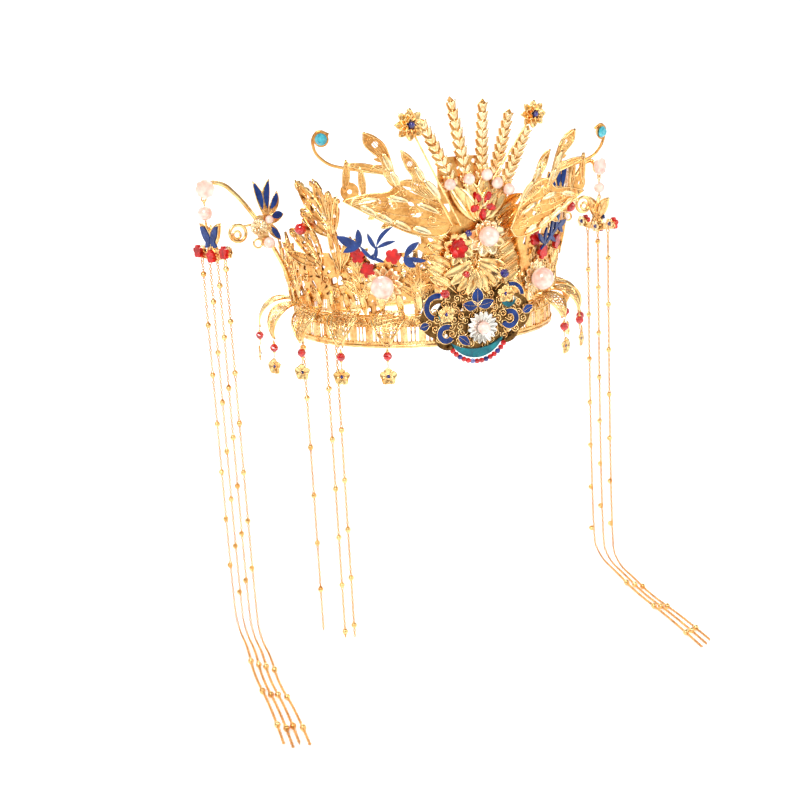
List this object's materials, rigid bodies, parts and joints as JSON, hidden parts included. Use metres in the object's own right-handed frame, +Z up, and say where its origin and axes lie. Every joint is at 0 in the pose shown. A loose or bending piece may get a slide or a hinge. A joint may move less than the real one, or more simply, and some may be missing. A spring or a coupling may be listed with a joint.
{
  "type": "phoenix crown",
  "caption": "Open filigree crown with pearls, enamel, feather fan, wings, pendants and long chain tassels, worn on the head.",
  "frame": {"origin": "centre of the band's lower rim, where the head comes in", "axes": "+Z up along the wearer's head, the front with the plaque faces -Y, +X to the viewer's right of the front"},
  "size_m": [0.2471, 0.1995, 0.2815],
  "materials": {
    "gold": "polished",
    "blue_enamel": "gloss",
    "teal_enamel": "gloss",
    "pearl": "gloss",
    "red_enamel": "gloss",
    "red_stone": "polished",
    "cyan_crystal": "polished",
    "dark_bead": "polished",
    "silver": "satin"
  },
  "bodies": {
    "root": {"base_band": "gold", "big_pearl_left": "pearl", "big_pearl_right": "pearl", "butterfly_left": "blue_enamel", "butterfly_right": "blue_enamel", "centre_pearl": "pearl", "centre_plate": "gold", "crest_enamel_left": "blue_enamel", "crest_enamel_right": "blue_enamel", "crystal_flower": "red_stone", "daisy_pearl": "pearl", "drop_beads_left": "red_stone", "drop_beads_right": "red_stone", "enamel_spray_left": "blue_enamel", "enamel_spray_right": "blue_enamel", "fan_pearls": "pearl", "feather_fan": "gold", "flower_hearts": "dark_bead", "fringe_beads": "red_stone", "front_drop_beads": "red_stone", "front_drops": "gold", "leaf_drops_left": "gold", "leaf_drops_right": "gold", "mesh_leaves_left": "gold", "mesh_leaves_right": "gold", "plaque_backing": "gold", "plaque_daisy": "silver", "plaque_enamel_blue": "blue_enamel", "plaque_enamel_teal": "teal_enamel", "red_cup_flower": "red_enamel", "side_arm_left": "gold", "side_arm_right": "gold", "side_chain_1": "gold", "side_chain_2": "gold", "side_chain_3": "gold", "side_stones_left": "pearl", "side_stones_right": "pearl", "side_wall_left": "gold", "side_wall_right": "gold", "spray_flowers_left": "red_enamel", "spray_flowers_right": "red_enamel", "stem_flower_left": "gold", "stem_flower_right": "gold", "tassel_flowers_left": "red_enamel", "tassel_flowers_right": "red_enamel", "tassel_head_left": "gold", "tassel_head_right": "gold", "tassel_strand_left_1": "gold", "tassel_strand_left_2": "gold", "tassel_strand_left_3": "gold", "tassel_strand_left_4": "gold", "tassel_strand_right_1": "gold", "tassel_strand_right_2": "gold", "tassel_strand_right_3": "gold", "wall_beads": "red_stone", "wing_crystal_left": "cyan_crystal", "wing_crystal_right": "cyan_crystal", "wing_left": "gold", "wing_right": "gold"}
  },
  "joints": []
}
